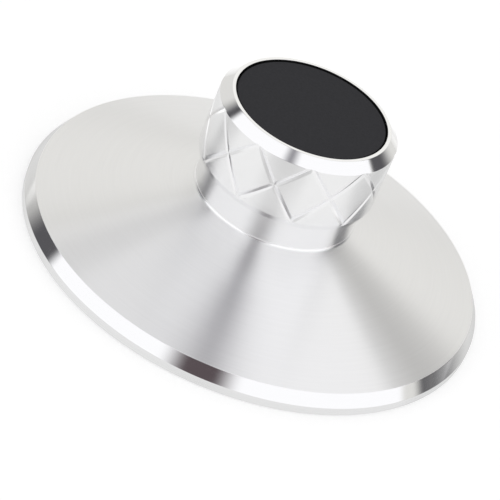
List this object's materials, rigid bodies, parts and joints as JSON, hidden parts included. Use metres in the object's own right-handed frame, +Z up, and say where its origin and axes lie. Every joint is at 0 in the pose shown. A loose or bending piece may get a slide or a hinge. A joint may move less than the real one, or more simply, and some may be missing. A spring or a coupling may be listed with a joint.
{
  "type": "record weight",
  "caption": "Turned metal record weight with a shallow conical disc, a neck and a knob with crossed grip grooves, set over a turntable spindle to hold a record flat.",
  "frame": {"origin": "centre of the flat underside that rests on the record's label", "axes": "+Z up along the turning axis and the spindle bore, towards the knob; +X and +Y across the disc"},
  "size_m": [0.08, 0.08, 0.0311],
  "materials": {
    "turned_aluminium": "satin turned cone, polished bevels",
    "black_inlay": "matt, fine grain"
  },
  "bodies": {
    "root": {"weight_body": "turned_aluminium", "top_inlay": "black_inlay"}
  },
  "joints": []
}
